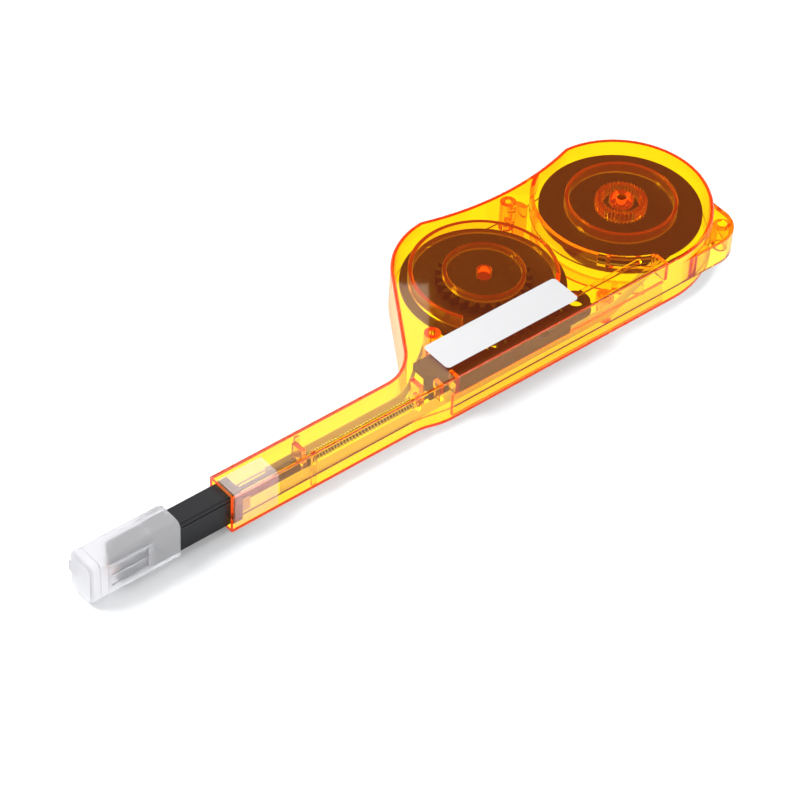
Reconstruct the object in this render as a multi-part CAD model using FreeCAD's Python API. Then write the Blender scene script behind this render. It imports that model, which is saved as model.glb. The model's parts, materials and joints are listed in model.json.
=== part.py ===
import FreeCAD, Part
import math
import os

# Push-driven cleaning pen for multi-fibre connectors, lying on its flat side. Lengths are in millimetres.
# While it is built, x runs from the nose mouth towards the reels, y from the nose's straight side towards
# the bulges, and z up from the underside. The finished shapes are moved so that the origin is the middle
# of the underside of the whole pen.

# Housing, one shell above and one below a stepped parting plane
BODY_H = 16.2            # thickness over the reels
AXIS_Z = BODY_H / 2      # height of the shaft, from which the works inside are placed
WALL = 1.1               # moulded wall of both shells
EDGE_R = 0.9             # rounding of the outer edges
BULGE_R = 26.7           # outer radius of both reel bulges
TAKE_UP_X = 111.4        # take-up reel centre from the nose mouth
REEL_PITCH = 52.5        # distance between the two reel centres
REEL_Y = 28.8            # both reel centres from the nose's straight side
CORNER_R = BULGE_R + 5.3 # sweep from the straight side into the rear bulge
WAIST_R = 95.0           # hollow between the bulges
WAIST_DIP = 4.2          # depth of that hollow below the bulges' tops
CREST_R = 3.0            # where the hollow meets each bulge
RAMP_DEG = 57.2          # slope of the front bulge's flank
NECK_R = 14.0            # inside bend between nose and flank
NOSE_L = 62.0            # straight length of the nose
NOSE_W = 10.3
NOSE_H = 13.8
FLARE_L = 14.0           # length over which the nose widens into the body
SPINE_STEP = 1.15        # how far the body's straight side stands out from the nose's
PART_Z = 5.0             # parting plane in the body
NOSE_PART_Z = 6.3        # parting plane in the nose

# Rear lug with its lanyard hole, moulded on the upper shell
LUG_H = 8.2              # above the parting plane
LUG_R = 9.2              # rounded outer corner
LUG_X = 186.3            # rear face
LUG_HOLE_R = 1.5
LUG_BOSS_R = 2.7
LUG_HOLE_FROM_CORNER = 4.9

# Clearances
RUN = 0.05               # a shaft in its bore, on the radius
SLIDE = 0.1              # flat sliding faces
GAP = 0.3                # faces that must stay apart
BACKLASH = 0.06          # taken off each flank of a tooth

# Tape, its two runs and its rolls
TAPE_T = 0.16
TAPE_Z0 = AXIS_Z - 3.4
TAPE_OFF = 1.0           # from the nose's side walls to the runs
TAPE_W = 4.4
TAKE_UP_ROLL_R = 10.0
SUPPLY_ROLL_R = 18.0

# Reels
FLANGE_OFF = 1.6         # from the bulges' wall to the flanges' edge
FLANGE_T = 0.8
CORE_R = 7.0
LOWER_FLANGE_R = 18.0
REEL_Z0 = AXIS_Z - 5.9   # underside of both lower flanges
TAKE_UP_TOP = AXIS_Z + 2.1   # upper face of the take-up reel's upper flange
SUPPLY_TOP = AXIS_Z + 3.4    # upper face of the supply reel's upper flange
SPINDLE_R = 2.95         # posts of the lower shell
SPINDLE_TOP = AXIS_Z + 0.2
TAKE_UP_PIN_R = 2.2      # pins of the upper shell
SUPPLY_PIN_R = 3.6
SUPPLY_PIN_DEPTH = 1.8   # how far it reaches into the reel
SUPPLY_PIN_BORE = 1.55
SUPPLY_COLLAR_R = 4.65
SUPPLY_COLLAR_H = 2.0

# Gear train: rack on the slider, idler, gear on the take-up reel
MODULE = 1.0
PRESSURE = math.radians(25.0)
ADDENDUM = 0.9
DEDENDUM = 1.1
IDLER_TEETH = 12
TAKE_UP_TEETH = 26
RACK_TEETH = 9
IDLER_PIN_R = 1.5
IDLER_Z0 = TAKE_UP_TOP + 0.4
IDLER_Z1 = TAKE_UP_TOP + 3.5
TAKE_UP_GEAR_H = 2.8

# Ribs under the upper shell
RIB_T = 1.2
C_RIB_R = 21.7           # open ring over the take-up reel
C_RIB_UP = 0.7           # its lower edge above that reel
C_RIB_FROM, C_RIB_TO = -41.0, 213.0
HUB_RIB_R = 12.0
SUPPLY_RIB_R = 16.6
CROWN_R = 7.75           # click crown over the supply reel's collar
CROWN_BORE = 5.6
CROWN_TEETH = 40
CROWN_DEPTH = 0.7
CHAMBER_FROM, CHAMBER_TO = 119.0, 250.0      # wall round the supply reel
CHAMBER_RING_LEAN = 6.0  # how much sooner the ring that stands under it ends
WINDOW_H = 3.3           # openings in that wall
WINDOW_OFF = 0.8         # below the ceiling
WINDOWS = ((213.0, 218.5), (221.0, 248.0))
SPINE_RIB_X0, SPINE_RIB_X1 = 125.5, 150.0
SPINE_RIB_Y = 4.9
TAPE_RIB_X = (63.5, 71.0, 76.3)              # short ribs over the feed tape

# Nozzle: rectangular tube, head, hollow shaft and slider, all sliding together
STROKE = 12.0
TUBE_W = 7.0
TUBE_H = 10.2
TUBE_WALL = 0.9
TUBE_EDGE_R = 0.6
TUBE_FRONT = -35.3
TUBE_REAR = 4.0
GROOVE_W, GROOVE_DEPTH = 0.4, 0.25
GROOVE_OFF = 1.1         # below the tube's upper face
HEAD_W = 2.5
HEAD_H = 6.4
HEAD_FRONT = -37.3
HEAD_L = 14.0
HEAD_EDGE_R = 1.1
HEAD_ROOT_L = 5.0
TIP_TAPE_PAST = 3.5      # how far the folded tape runs past the tube's rear end
SHAFT_R = 1.65           # in the tube and the nose guide
ROD_R = 0.75             # inside the spring
SHOULDER_R = 2.2
SHOULDER_T = 1.4
SHAFT_END = 76.0
COLLAR_FROM, COLLAR_TO = 6.0, 1.0            # block on the shaft, from the tube's rear end
NOSE_GUIDE_X = 25.2      # bulkhead that guides the shaft
SPRING_STOP_X = 66.2     # bulkhead that the spring pushes on
BULKHEAD_T = 1.5
BULKHEAD_W = 4.3
BULKHEAD_DOWN = 2.9      # below the shaft's axis
SLIDER_X0 = 78.2
SLIDER_REAR = 118.8
SLIDER_WIDE_END = 91.5
SLIDER_WIDE_Y = 12.0
SLIDER_Z0, SLIDER_Z1 = AXIS_Z + 3.3, AXIS_Z + 5.8
SLIDER_SKIRT_H = 2.6
SLIDER_SKIRT_T = 0.9
CLAMP_L = 4.5            # of the slider on the shaft
NOTCH_FROM, NOTCH_TO = 11.0, 8.0             # in the slider's upper edge, from the skirt's rear end
NOTCH_DEPTH, NOTCH_H = 0.5, 1.2
EYE_X, EYE_Y = 124.6, 4.4
EYE_R, EYE_HOLE_R = 4.2, 2.4

# Return spring on the shaft
SPRING_R = 1.15          # to the middle of the wire
WIRE = 0.42
SPRING_TURNS = 36
WIRE_STEPS = 8           # straight pieces in each turn

# Tape roller beside the supply reel
ROLLER_X = 136.5
ROLLER_R = 2.4
ROLLER_PIN_R = 1.2
PEG_X, PEG_Y = 147.5, 12.0                   # short peg between the roller and the supply reel
PEG_R, PEG_H = 0.8, 2.0

# Posts that hold the shells together
GUIDE_BOSS_X, GUIDE_BOSS_R = 82.7, 2.4
GUIDE_PIN_R = 0.9
LATCH_BOSS_X = 136.3
LATCH_BOSS_IN = 4.0      # from the waist's outer face
LATCH_BOSS_R = 2.4
LATCH_BOSS_UP = 1.0      # its foot above the parting plane
LATCH_PIN_UP = 4.0
LATCH_DX, LATCH_DY = 3.1, -2.1               # from the boss to the column that hooks into it
LATCH_R = 2.1
HOOK_W, HOOK_H = 1.2, 1.3
HOOK_DOWN = 3.4          # below the ceiling
FINGER_X, FINGER_L, FINGER_T = 27.2, 1.6, 0.7    # latch fingers at both sides of the nose

# Guide cap and its end lid
CAP_REAR = -16.8
CAP_FRONT = -42.4
CAP_W = 9.9
CAP_H = 13.7
CAP_Y0 = 0.8
CAP_WALL = 0.6
CAP_R = 2.2
COLLAR_L = 8.0
LID_L = 2.9
LID_BEVEL = 0.8
GRIP_FROM, GRIP_TO = 3.4, 2.4                # grip windows, from the cap's front and from its collar
GRIP_H, GRIP_PITCH = 3.1, 3.7
HINGE_R = 0.8
HINGE_PIN_R = 0.38
BARREL_L = 3.6
EAR_L = 1.6
EAR_REACH = 2.0          # length of the ears' feet on the cap

# Labels
LABEL_X0, LABEL_Y0 = 76.2, 3.0
LABEL_L, LABEL_W = 48.3, 10.8
LABEL_T = 0.12
LABEL_R = 1.3
FILM_X0, FILM_L = 0.6, 14.4
FILM_TOP_W, FILM_SIDE_H = 7.6, 11.6

# Places that follow from the sizes above
SUPPLY_X = TAKE_UP_X + REEL_PITCH
CEILING = BODY_H - WALL
NOSE_Z0 = (BODY_H - NOSE_H) / 2
NOSE_Z1 = (BODY_H + NOSE_H) / 2
AXIS_Y = NOSE_W / 2
WAIST_Y = REEL_Y + BULGE_R - WAIST_DIP
LUG_Z0, LUG_Z1 = PART_Z, PART_Z + LUG_H
FLANGE_R = BULGE_R - WALL - FLANGE_OFF
TAKE_UP_GEAR_TOP = TAKE_UP_TOP + TAKE_UP_GEAR_H
TAPE_SPLIT_X = TUBE_REAR + STROKE + 1.0          # where the housing's two tape runs start
LATCH_BOSS_Y = WAIST_Y - LATCH_BOSS_IN
LATCH_X, LATCH_Y = LATCH_BOSS_X + LATCH_DX, LATCH_BOSS_Y + LATCH_DY
HOOK_Z = CEILING - HOOK_DOWN
SPINE_IN = WALL - SPINE_STEP                     # inner face of the body's straight side
TAKE_UP_RP = MODULE * TAKE_UP_TEETH / 2
IDLER_RP = MODULE * IDLER_TEETH / 2
IDLER_Y = REEL_Y - TAKE_UP_RP - IDLER_RP
RACK_Y = IDLER_Y - IDLER_RP                      # pitch line of the rack
TAPE_Z1 = TAPE_Z0 + TAPE_W
FEED_Y = WALL + TAPE_OFF                         # near face of the feed run
RETURN_Y = NOSE_W - WALL - TAPE_OFF - TAPE_T     # near face of the return run
ROLLER_Y = FEED_Y + TAPE_T + GAP + ROLLER_R
CHAMBER_WALL_Z = TAPE_Z1 + GAP                   # lower edge of the wall round the supply reel
SLIDER_SKIRT_Z = SLIDER_Z0 - SLIDER_SKIRT_H
BULKHEAD_Z = AXIS_Z - BULKHEAD_DOWN
LUG_CORNER_X, LUG_CORNER_Y = LUG_X - LUG_R, LUG_R - SPINE_STEP
LUG_HOLE_X = LUG_CORNER_X + LUG_HOLE_FROM_CORNER
LUG_HOLE_Y = LUG_CORNER_Y - 0.65 * LUG_HOLE_FROM_CORNER
RAIL_T = SLIDER_SKIRT_T + SLIDE
CAP_FAR_Y = CAP_Y0 + CAP_W
CAP_Z0 = AXIS_Z - CAP_H / 2
CAP_Z1 = AXIS_Z + CAP_H / 2
CAP_GRIP_Z = AXIS_Z - 2.6                        # lower edge of the lower grip window
HINGE_X = CAP_FRONT - SLIDE - HINGE_R
HINGE_Y = CAP_FAR_Y + HINGE_R


def at(x, y, z=0.0):
    return FreeCAD.Vector(x, y, z)


def box(x0, x1, y0, y1, z0, z1):
    return Part.makeBox(x1 - x0, y1 - y0, z1 - z0, at(x0, y0, z0))


def disc(x, y, r, z0, z1):
    return Part.makeCylinder(r, z1 - z0, at(x, y, z0))


def ring(x, y, r_out, r_in, z0, z1):
    return disc(x, y, r_out, z0, z1).cut(disc(x, y, r_in, z0, z1))


def sector(x, y, r_out, r_in, z0, z1, deg0, deg1):
    """Part of a ring between two angles."""
    corners = [at(x + r_in, y, z0), at(x + r_out, y, z0), at(x + r_out, y, z1), at(x + r_in, y, z1)]
    face = Part.Face(Part.makePolygon(corners + corners[:1]))
    face.rotate(at(x, y), at(0, 0, 1), deg0)
    return face.revolve(at(x, y), at(0, 0, 1), deg1 - deg0)


def on_circle(x, y, r, deg):
    return at(x + r * math.cos(math.radians(deg)), y + r * math.sin(math.radians(deg)))


def arc(x, y, r, deg0, deg1):
    points = [on_circle(x, y, r, deg) for deg in (deg0, (deg0 + deg1) / 2, deg1)]
    return Part.Arc(*points).toShape()


def line(a, b):
    return Part.makeLine(a, b)


def s_bend(a, b, across):
    """Two equal arcs from a to b, parallel to +X at both ends; across is the direction of the shift."""
    shift = (b - a).dot(across)
    run = b.x - a.x
    radius = (run ** 2 + shift ** 2) / (4 * abs(shift))
    quarter = radius - math.sqrt(radius ** 2 - (run / 4) ** 2)
    sign = 1.0 if shift > 0 else -1.0
    middle = (a + b) * 0.5
    first = at(a.x + run / 4, a.y, a.z) + across * (sign * quarter)
    second = at(b.x - run / 4, b.y, b.z) - across * (sign * quarter)
    return [Part.Arc(a, first, middle).toShape(), Part.Arc(middle, second, b).toShape()]


def waist_angle(inset):
    """Angle on a bulge's circle where the waist's hollow begins, measured from the vertical outwards."""
    rise = WAIST_Y + WAIST_R - REEL_Y
    distance = math.hypot(REEL_PITCH / 2, rise)
    r_bulge, r_waist = BULGE_R - inset, WAIST_R + inset
    lean = math.degrees(math.atan2(REEL_PITCH / 2, rise))
    half = math.degrees(math.acos((distance ** 2 + r_bulge ** 2 - r_waist ** 2) / (2 * distance * r_bulge)))
    return half - lean


def corner_sweep():
    """Centre of the sweep from the straight side into the rear bulge, and the angle where it ends."""
    y = CORNER_R - SPINE_STEP
    x = SUPPLY_X - math.sqrt((CORNER_R - BULGE_R) ** 2 - (REEL_Y - y) ** 2)
    return x, y, math.degrees(math.atan2(REEL_Y - y, SUPPLY_X - x))


def neck_centre():
    """Centre of the inside bend between the nose's far side and the front bulge's flank."""
    flank = on_circle(0, 0, 1, 90.0 + RAMP_DEG)
    y = NOSE_W + NECK_R
    return TAKE_UP_X + (BULGE_R + NECK_R - flank.y * (y - REEL_Y)) / flank.x, y


def return_run():
    """Radius of the return tape's bend round the neck, and the slope of its straight run to the roll."""
    x, y = neck_centre()
    bend = y - RETURN_Y
    reach = math.hypot(TAKE_UP_X - x, REEL_Y - y)
    slope = math.atan2(REEL_Y - y, TAKE_UP_X - x) + math.asin((bend + TAKE_UP_ROLL_R + GAP) / reach)
    return bend, math.degrees(slope)


def guide_boss_place():
    """Where the boss stands beside the return tape's straight run."""
    x, y = neck_centre()
    bend, lean = return_run()
    beside = on_circle(x, y, bend + GAP + GUIDE_BOSS_R, lean - 90.0)
    slope = math.tan(math.radians(lean))
    return GUIDE_BOSS_X, beside.y + (GUIDE_BOSS_X - beside.x) * slope


def plan_outline(inset, mouth_x):
    """The housing's outline seen from above, as a face at z = 0, moved in by inset."""
    r = BULGE_R - inset
    near = at(mouth_x, inset)
    nose_end = at(NOSE_L, inset)
    spine_start = at(NOSE_L + FLARE_L, inset - SPINE_STEP)

    corner_x, corner_y, corner_deg = corner_sweep()
    spine_end = at(corner_x, inset - SPINE_STEP)

    past_top = waist_angle(inset)
    rear_deg, front_deg = 90.0 - past_top, 90.0 + past_top
    waist_x = TAKE_UP_X + REEL_PITCH / 2
    rear_top = on_circle(SUPPLY_X, REEL_Y, r, rear_deg)
    front_top = on_circle(TAKE_UP_X, REEL_Y, r, front_deg)
    waist = Part.Arc(rear_top, at(waist_x, WAIST_Y - inset), front_top).toShape()

    flank_deg = 90.0 + RAMP_DEG
    neck_x, neck_y = neck_centre()
    neck_end = at(neck_x, NOSE_W - inset)
    flank_top = on_circle(TAKE_UP_X, REEL_Y, r, flank_deg)
    flank_foot = on_circle(neck_x, neck_y, NECK_R + inset, flank_deg - 180.0)
    far = at(mouth_x, NOSE_W - inset)

    edges = [line(near, nose_end)]
    edges += s_bend(nose_end, spine_start, at(0, 1))
    edges += [line(spine_start, spine_end), arc(corner_x, corner_y, CORNER_R - inset, -90.0, corner_deg)]
    edges += [arc(SUPPLY_X, REEL_Y, r, corner_deg, rear_deg), waist]
    edges += [arc(TAKE_UP_X, REEL_Y, r, front_deg, flank_deg), line(flank_top, flank_foot)]
    edges.append(arc(neck_x, neck_y, NECK_R + inset, flank_deg - 180.0, -90.0))
    edges += [line(neck_end, far), line(far, near)]
    return Part.Face(Part.Wire(edges))


def side_profile(inset, mouth_x):
    """The housing seen from its straight side, as a face at y = 0, moved in by inset."""
    rear_x = SUPPLY_X + BULGE_R + WALL
    up = at(0, 0, 1)
    low = [at(mouth_x, 0, NOSE_Z0 + inset), at(NOSE_L, 0, NOSE_Z0 + inset)]
    low += [at(NOSE_L + FLARE_L, 0, inset), at(rear_x, 0, inset)]
    high = [at(p.x, 0, BODY_H - p.z) for p in low]
    edges = [line(low[0], low[1])] + s_bend(low[1], low[2], up) + [line(low[2], low[3]), line(low[3], high[3])]
    edges += [line(high[2], high[3])] + s_bend(high[1], high[2], up)
    edges += [line(high[0], high[1]), line(high[0], low[0])]
    return Part.Face(Part.Wire(Part.__sortEdges__(edges)))


def housing_block(inset, mouth_x):
    plan = plan_outline(inset, mouth_x).extrude(at(0, 0, BODY_H))
    depth = REEL_Y + BULGE_R + 2 * SPINE_STEP
    side = side_profile(inset, mouth_x)
    side.translate(at(0, -2 * SPINE_STEP))
    block = plan.common(side.extrude(at(0, depth)))
    crests = [e for e in block.Edges if e.BoundBox.ZLength > NOSE_H / 2 and e.BoundBox.YMin > WAIST_Y]
    return block.makeFillet(CREST_R - inset, crests)


def rounded_housing():
    """The outer block with its upper and lower edges rounded; the mouth stays square."""
    block = housing_block(0.0, 0.0)
    edges = []
    for edge in block.Edges:
        bounds = edge.BoundBox
        crosses = bounds.XLength < 0.01
        upright = bounds.ZLength > NOSE_H / 2
        if not crosses and not upright:
            edges.append(edge)
    return block.makeFillet(EDGE_R, edges)


def lug():
    """Rear lug: a cored plate with a boss round the lanyard hole."""
    left = corner_sweep()[0]
    bottom = -SPINE_STEP

    def plate(inset, z0, z1):
        corners = [at(left, bottom + inset), at(LUG_CORNER_X, bottom + inset)]
        edges = [line(*corners), arc(LUG_CORNER_X, LUG_CORNER_Y, LUG_R - inset, -90.0, 0.0)]
        upper = at(LUG_X - inset, REEL_Y)
        edges += [line(at(LUG_X - inset, LUG_CORNER_Y), upper), line(upper, at(left, REEL_Y))]
        edges += [line(at(left, REEL_Y), corners[0])]
        face = Part.Face(Part.Wire(edges))
        face.translate(at(0, 0, z0))
        return face.extrude(at(0, 0, z1 - z0))

    shape = plate(0.0, LUG_Z0, LUG_Z1).cut(plate(WALL, LUG_Z0 - 1.0, LUG_Z1 - WALL))
    shape = shape.fuse(disc(LUG_HOLE_X, LUG_HOLE_Y, LUG_BOSS_R, LUG_Z0, LUG_Z1))
    shape = shape.cut(disc(LUG_HOLE_X, LUG_HOLE_Y, LUG_HOLE_R, LUG_Z0 - 1.0, LUG_Z1 + 1.0))
    return shape


def below_parting():
    """Everything under the parting plane, which steps up through the flare to the nose."""
    rear_x = SUPPLY_X + BULGE_R + LUG_R
    depth = REEL_Y + BULGE_R + 4 * SPINE_STEP
    points = [(-WALL, -WALL), (rear_x, -WALL), (rear_x, PART_Z), (NOSE_L + FLARE_L, PART_Z)]
    points += [(NOSE_L, NOSE_PART_Z), (-WALL, NOSE_PART_Z), (-WALL, -WALL)]
    face = Part.Face(Part.makePolygon([at(x, -2 * SPINE_STEP, z) for x, z in points]))
    return face.extrude(at(0, depth))


def toothed_ring(x, y, r_out, r_in, depth, count, z0, z1):
    """Ring with pointed teeth on its outside and in its bore."""
    def star(r_tip, r_root):
        points = []
        for i in range(count):
            points.append(on_circle(x, y, r_tip, i * 360.0 / count))
            points.append(on_circle(x, y, r_root, (i + 0.5) * 360.0 / count))
        face = Part.Face(Part.makePolygon([at(p.x, p.y, z0) for p in points + points[:1]]))
        return face.extrude(at(0, 0, z1 - z0))

    return star(r_out, r_out - depth).cut(star(r_in, r_in + depth))


def involute(angle):
    return math.tan(angle) - angle


def gear(x, y, teeth, first_deg, z0, z1, bore_r):
    """Spur gear with involute flanks; one tooth points to first_deg."""
    r_pitch = MODULE * teeth / 2
    r_base = r_pitch * math.cos(PRESSURE)
    r_tip, r_root = r_pitch + ADDENDUM * MODULE, r_pitch - DEDENDUM * MODULE
    r_start = max(r_base, r_root)
    half = math.pi / (2 * teeth) - BACKLASH / r_pitch + involute(PRESSURE)
    pitch_deg = 360.0 / teeth

    def flank(r, side, tooth):
        spread = half - involute(math.acos(min(1.0, r_base / r)))
        return on_circle(x, y, r, first_deg + tooth * pitch_deg + side * math.degrees(spread))

    edges = []
    for tooth in range(teeth):
        for side in (-1, 1):
            radii = [r_start, (r_start + r_tip) / 2, r_tip][::-side]
            a, b, c = [flank(r, side, tooth) for r in radii]
            low = on_circle(x, y, r_root, first_deg + tooth * pitch_deg + side * math.degrees(half))
            start = flank(r_start, side, tooth)
            curve = [line(a, b), line(b, c)]
            if r_base > r_root:
                foot = [line(low, start)] if side < 0 else [line(start, low)]
            else:
                foot = []
                low = start
            edges += foot + curve if side < 0 else curve + foot
            if side < 0:
                tip = on_circle(x, y, r_tip, first_deg + tooth * pitch_deg)
                edges.append(Part.Arc(flank(r_tip, -1, tooth), tip, flank(r_tip, 1, tooth)).toShape())
            else:
                gap = on_circle(x, y, r_root, first_deg + (tooth + 0.5) * pitch_deg)
                if r_base > r_root:
                    after = on_circle(x, y, r_root, first_deg + (tooth + 1) * pitch_deg - math.degrees(half))
                else:
                    after = flank(r_start, -1, tooth + 1)
                edges.append(Part.Arc(low, gap, after).toShape())
    face = Part.Face(Part.Wire(edges))
    face.translate(at(0, 0, z0))
    return face.extrude(at(0, 0, z1 - z0)).cut(disc(x, y, bore_r, z0, z1))


def latch_fingers():
    """Two fingers that stand on the lower shell, along the upper shell's side walls in the nose."""
    top = NOSE_Z1 - WALL - GAP
    fingers = []
    for y0 in (WALL + SLIDE, NOSE_W - WALL - SLIDE - FINGER_T):
        fingers.append(box(FINGER_X, FINGER_X + FINGER_L, y0, y0 + FINGER_T, NOSE_Z0 + WALL / 2, top))
    return fingers


def hook_bar(grow):
    """Bar from the latch column to the middle of the boss that it hooks into."""
    reach = math.hypot(LATCH_DX, LATCH_DY)
    half = HOOK_W / 2 + grow
    bar = box(LATCH_X - reach - grow, LATCH_X, LATCH_Y - half, LATCH_Y + half,
              HOOK_Z - grow, HOOK_Z + HOOK_H + grow)
    bar.rotate(at(LATCH_X, LATCH_Y), at(0, 0, 1), math.degrees(math.atan2(LATCH_DY, LATCH_DX)))
    return bar


def latch_boss():
    boss = ring(LATCH_BOSS_X, LATCH_BOSS_Y, LATCH_BOSS_R, GUIDE_PIN_R + RUN, PART_Z + LATCH_BOSS_UP, CEILING)
    return boss.cut(hook_bar(SLIDE))


def latch_column():
    """Column beside the boss, hollowed round it, with a slanting top and a hook."""
    top = CEILING - GAP
    column = disc(LATCH_X, LATCH_Y, LATCH_R, WALL / 2, top)
    x0, x1, y = LATCH_X - LATCH_R, LATCH_X + LATCH_R, LATCH_Y - LATCH_R
    slope = Part.makePolygon([at(x0, y, top), at(x1, y, top), at(x1, y, top - LATCH_R), at(x0, y, top)])
    column = column.cut(Part.Face(slope).extrude(at(0, 2 * LATCH_R)))
    column = column.cut(disc(LATCH_BOSS_X, LATCH_BOSS_Y, LATCH_BOSS_R + SLIDE, 0, BODY_H))
    return column.fuse(hook_bar(0.0))


def chamber_wall():
    """Wall round the supply reel, with two windows and a straight end at the spine."""
    r_in = BULGE_R - RIB_T
    wall = sector(SUPPLY_X, REEL_Y, BULGE_R, r_in, CHAMBER_WALL_Z, CEILING, CHAMBER_FROM, CHAMBER_TO)
    top = CEILING - WINDOW_OFF
    for deg0, deg1 in WINDOWS:
        wall = wall.cut(sector(SUPPLY_X, REEL_Y, BULGE_R + WALL, r_in - WALL, top - WINDOW_H, top, deg0, deg1))
    end = on_circle(SUPPLY_X, REEL_Y, BULGE_R - RIB_T / 2, CHAMBER_TO)
    y0, z0 = SPINE_IN - WALL / 2, CHAMBER_WALL_Z + SLIDE
    return wall.fuse(box(end.x - RIB_T / 2, end.x + RIB_T / 2, y0, end.y, z0, CEILING))


def bulkhead(x, shaft_r):
    """Plate across the nose with a shaft's hole; the tape passes on both sides."""
    plate = box(x, x + BULKHEAD_T, AXIS_Y - BULKHEAD_W / 2, AXIS_Y + BULKHEAD_W / 2, BULKHEAD_Z, BODY_H)
    hole = Part.makeCylinder(shaft_r + RUN, BULKHEAD_T, at(x, AXIS_Y, AXIS_Z), at(1, 0, 0))
    return plate.cut(hole)


def upper_shell(block, cavity, lower_half):
    shell = block.cut(cavity).cut(lower_half)
    inside = housing_block(WALL / 2, 0.0)
    shell = shell.fuse(lug().cut(inside))

    ribs = [chamber_wall()]
    r_in = C_RIB_R - RIB_T
    ribs.append(sector(TAKE_UP_X, REEL_Y, C_RIB_R, r_in, TAKE_UP_TOP + C_RIB_UP, CEILING, C_RIB_FROM, C_RIB_TO))
    ribs.append(ring(TAKE_UP_X, REEL_Y, HUB_RIB_R, HUB_RIB_R - RIB_T, TAKE_UP_GEAR_TOP + GAP, CEILING))
    over_supply = SUPPLY_TOP + GAP
    ribs.append(ring(SUPPLY_X, REEL_Y, SUPPLY_RIB_R, SUPPLY_RIB_R - RIB_T, over_supply, CEILING))
    crown = toothed_ring(SUPPLY_X, REEL_Y, CROWN_R, CROWN_BORE, CROWN_DEPTH, CROWN_TEETH, over_supply, CEILING)
    ribs.append(crown)
    ribs.append(disc(TAKE_UP_X, REEL_Y, TAKE_UP_PIN_R, TAKE_UP_TOP + GAP, CEILING))
    ribs.append(disc(SUPPLY_X, REEL_Y, SUPPLY_PIN_R, SUPPLY_TOP - SUPPLY_PIN_DEPTH, CEILING))
    ribs.append(disc(TAKE_UP_X, IDLER_Y, IDLER_PIN_R, IDLER_Z0 + GAP, CEILING))
    ribs.append(ring(*guide_boss_place(), GUIDE_BOSS_R, GUIDE_PIN_R + RUN, WALL + SLIDE, CEILING))
    ribs.append(latch_boss())
    ribs.append(box(SPINE_RIB_X0, SPINE_RIB_X1, SPINE_RIB_Y, SPINE_RIB_Y + RIB_T, SLIDER_Z1 + GAP, CEILING))
    ribs.append(bulkhead(NOSE_GUIDE_X, SHAFT_R))
    ribs.append(bulkhead(SPRING_STOP_X, ROD_R))
    for x in TAPE_RIB_X:
        ribs.append(box(x, x + RIB_T, -SPINE_STEP, AXIS_Y - SHOULDER_R - GAP, TAPE_Z1 + GAP, BODY_H))
    for rib in ribs:
        shell = shell.fuse(rib.common(inside))
    return shell.cut(disc(SUPPLY_X, REEL_Y, SUPPLY_PIN_BORE, 0, BODY_H + WALL)).removeSplitter()


def lower_shell(block, cavity, lower_half):
    shell = block.cut(cavity).common(lower_half)
    posts = [disc(x, REEL_Y, SPINDLE_R, WALL / 2, SPINDLE_TOP) for x in (TAKE_UP_X, SUPPLY_X)]
    r_ring = BULGE_R - RIB_T - SLIDE
    ring_from, ring_to = CHAMBER_FROM + CHAMBER_RING_LEAN, CHAMBER_TO - CHAMBER_RING_LEAN
    posts.append(sector(SUPPLY_X, REEL_Y, r_ring, FLANGE_R + GAP, WALL / 2, TAPE_Z0 - GAP, ring_from, ring_to))
    rail_end = on_circle(SUPPLY_X, REEL_Y, BULGE_R, CHAMBER_TO).x
    rail_y = SPINE_IN + SLIDE
    posts.append(box(NOSE_L + FLARE_L, rail_end, rail_y, rail_y + RAIL_T, WALL / 2, SLIDER_SKIRT_Z - SLIDE))
    posts.append(disc(*guide_boss_place(), GUIDE_PIN_R, WALL / 2, PART_Z))
    posts.append(disc(LATCH_BOSS_X, LATCH_BOSS_Y, GUIDE_PIN_R, WALL / 2, PART_Z + LATCH_PIN_UP))
    posts.append(latch_column())
    posts.append(disc(PEG_X, PEG_Y, PEG_R, WALL / 2, WALL + PEG_H))
    posts.append(disc(ROLLER_X, ROLLER_Y, ROLLER_PIN_R, WALL / 2, TAPE_Z1 + 3 * GAP))
    posts.append(disc(ROLLER_X, ROLLER_Y, (ROLLER_PIN_R + ROLLER_R) / 2, WALL / 2, TAPE_Z0 - 2 * GAP))
    for shape in posts + latch_fingers():
        shell = shell.fuse(shape)
    return shell.removeSplitter()


def name_label():
    face = box(LABEL_X0, LABEL_X0 + LABEL_L, LABEL_Y0, LABEL_Y0 + LABEL_W, BODY_H, BODY_H + LABEL_T)
    return face.makeFillet(LABEL_R, [e for e in face.Edges if e.BoundBox.ZLength > LABEL_T / 2])


def nose_film():
    """Clear film folded over the nose's near upper edge."""
    def section(grow):
        r = EDGE_R + grow
        top, side = NOSE_Z1 + grow, -grow
        centre_y, centre_z = EDGE_R, NOSE_Z1 - EDGE_R
        turns = (0, math.pi / 4, math.pi / 2)
        bend = [at(0, centre_y - r * math.cos(turn), centre_z + r * math.sin(turn)) for turn in turns]
        return at(0, side, NOSE_Z1 - FILM_SIDE_H), bend, at(0, FILM_TOP_W, top)

    low_in, bend_in, end_in = section(0.0)
    low_out, bend_out, end_out = section(LABEL_T)
    edges = [line(low_in, bend_in[0]), Part.Arc(*bend_in).toShape(), line(bend_in[2], end_in)]
    edges += [line(end_in, end_out), line(end_out, bend_out[2]), Part.Arc(*bend_out[::-1]).toShape()]
    edges += [line(bend_out[0], low_out), line(low_out, low_in)]
    face = Part.Face(Part.Wire(edges))
    face.translate(at(FILM_X0, 0))
    return face.extrude(at(FILM_L, 0))


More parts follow.
